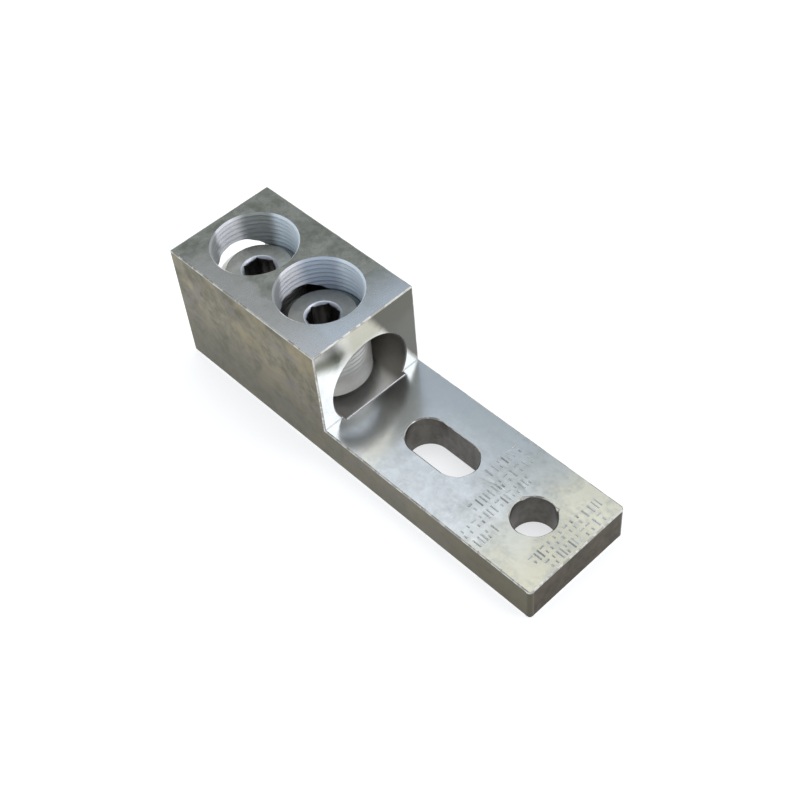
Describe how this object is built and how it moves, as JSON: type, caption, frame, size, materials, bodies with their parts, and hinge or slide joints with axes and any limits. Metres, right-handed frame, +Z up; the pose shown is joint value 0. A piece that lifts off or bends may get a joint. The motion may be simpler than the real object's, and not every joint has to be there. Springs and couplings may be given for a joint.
{
  "type": "mechanical lug",
  "caption": "L-shaped metal wire lug: a block whose round conductor bore is clamped from above by socket set screws, and a flat tang with a round bolt hole and a bolt slot.",
  "frame": {"origin": "on the flat contact face, at the middle of the lug's length and width", "axes": "+X from the conductor's entry towards the tang's tip, +Y across the bar, +Z up from the contact face along the set screws and the bolt hole"},
  "size_m": [0.1562, 0.0412, 0.0468],
  "materials": {
    "tinned_bar": "satin tin plate on sawn and machined bar, mottled, with light handling wear",
    "tinned_screw": "satin tin plate on a turned screw"
  },
  "bodies": {
    "lug": {"lug_body": "tinned_bar"},
    "rear_screw": {"set_screw_rear": "tinned_screw"},
    "front_screw": {"set_screw_front": "tinned_screw"}
  },
  "joints": [
    {"name": "rear_screw_travel", "type": "slide", "parent": "lug", "child": "rear_screw", "axis": [0, 0, 1], "range_m": [0, 0.02721]},
    {"name": "front_screw_travel", "type": "slide", "parent": "lug", "child": "front_screw", "axis": [0, 0, 1], "range_m": [0, 0.02721]}
  ]
}
